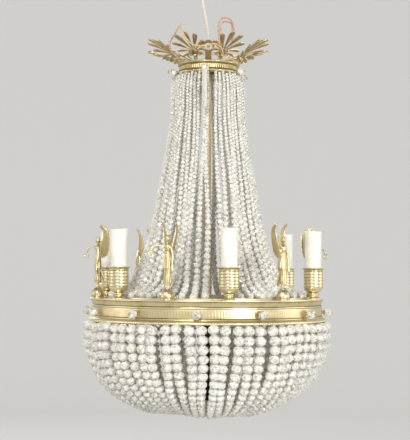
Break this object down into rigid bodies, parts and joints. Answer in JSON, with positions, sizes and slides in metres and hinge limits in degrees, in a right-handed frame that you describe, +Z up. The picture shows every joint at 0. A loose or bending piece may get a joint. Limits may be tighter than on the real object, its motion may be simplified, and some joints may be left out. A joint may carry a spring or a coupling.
{
  "type": "crystal chandelier",
  "caption": "Empire style basket chandelier: a tent and a basket of crystal bead strands on a gilt ring with candle cups and winged figures.",
  "frame": {"origin": "centre of the hanging eye's bore", "axes": "+Z up along the stem, -Y towards the viewer of the picture, +X to the viewer's right"},
  "size_m": [0.4292, 0.4292, 0.754],
  "materials": {
    "gilt_brass": "gilt cast brass, rubbed bright on the high parts",
    "plain_brass": "turned brass, lightly dulled",
    "cut_glass": "faceted crystal glass",
    "candle_plastic": "white candle sleeve with wax drips",
    "holder_plastic": "moulded thermoset lampholder",
    "flex_sheath": "smooth white sheath",
    "wire_copper": "clear pinkish wire insulation over copper",
    "wire_gilt": "clear yellowish wire insulation over copper"
  },
  "bodies": {
    "hanger": {"hanging_eye": "plain_brass", "hanger_pin": "plain_brass"},
    "chandelier": {"basket_disc": "gilt_brass", "basket_hoop": "plain_brass", "basket_strands_1": "cut_glass", "basket_strands_2": "cut_glass", "bottom_finial": "gilt_brass", "candle_cup_1": "gilt_brass", "candle_cup_2": "gilt_brass", "candle_cup_3": "gilt_brass", "candle_cup_4": "gilt_brass", "candle_cup_5": "gilt_brass", "candle_cup_6": "gilt_brass", "crown_balls": "cut_glass", "crown_band": "gilt_brass", "crown_drop": "cut_glass", "crown_pins": "plain_brass", "crown_spider": "plain_brass", "figure_1": "gilt_brass", "figure_2": "gilt_brass", "figure_3": "gilt_brass", "figure_4": "gilt_brass", "figure_5": "gilt_brass", "figure_6": "gilt_brass", "figure_domes": "gilt_brass", "flex_connector": "flex_sheath", "flex_gland": "plain_brass", "lamp_fixings": "plain_brass", "lampholders": "holder_plastic", "main_ring": "gilt_brass", "main_spider": "plain_brass", "palmette_1": "gilt_brass", "palmette_2": "gilt_brass", "palmette_3": "gilt_brass", "palmette_4": "gilt_brass", "palmette_5": "gilt_brass", "palmette_6": "gilt_brass", "palmette_7": "gilt_brass", "palmette_8": "gilt_brass", "palmette_screws": "plain_brass", "ring_balls": "cut_glass", "ring_gallery": "gilt_brass", "ring_pins": "plain_brass", "stem_head": "plain_brass", "stem_nuts": "plain_brass", "stem_tube": "plain_brass", "supply_flex": "flex_sheath", "tent_strands_1": "cut_glass", "tent_strands_2": "cut_glass", "tent_strands_3": "cut_glass", "wire_tail_front": "wire_gilt", "wire_tail_inner": "wire_copper", "wire_tail_left": "wire_copper", "wire_tail_right": "wire_copper"},
    "candle_sleeve_1": {"candle_sleeve_1": "candle_plastic"},
    "candle_sleeve_2": {"candle_sleeve_2": "candle_plastic"},
    "candle_sleeve_3": {"candle_sleeve_3": "candle_plastic"},
    "candle_sleeve_4": {"candle_sleeve_4": "candle_plastic"},
    "candle_sleeve_5": {"candle_sleeve_5": "candle_plastic"},
    "candle_sleeve_6": {"candle_sleeve_6": "candle_plastic"}
  },
  "joints": [
    {"name": "hanger_swing", "type": "hinge", "parent": "hanger", "child": "chandelier", "pos_m": [0, 0, -0.024], "axis": [0, 1, 0], "range_deg": [-15, 15]},
    {"name": "candle_sleeve_1_lift", "type": "slide", "parent": "chandelier", "child": "candle_sleeve_1", "axis": [0, 0, 1], "range_m": [0, 0.09]},
    {"name": "candle_sleeve_2_lift", "type": "slide", "parent": "chandelier", "child": "candle_sleeve_2", "axis": [0, 0, 1], "range_m": [0, 0.09]},
    {"name": "candle_sleeve_3_lift", "type": "slide", "parent": "chandelier", "child": "candle_sleeve_3", "axis": [0, 0, 1], "range_m": [0, 0.09]},
    {"name": "candle_sleeve_4_lift", "type": "slide", "parent": "chandelier", "child": "candle_sleeve_4", "axis": [0, 0, 1], "range_m": [0, 0.09]},
    {"name": "candle_sleeve_5_lift", "type": "slide", "parent": "chandelier", "child": "candle_sleeve_5", "axis": [0, 0, 1], "range_m": [0, 0.09]},
    {"name": "candle_sleeve_6_lift", "type": "slide", "parent": "chandelier", "child": "candle_sleeve_6", "axis": [0, 0, 1], "range_m": [0, 0.09]}
  ]
}
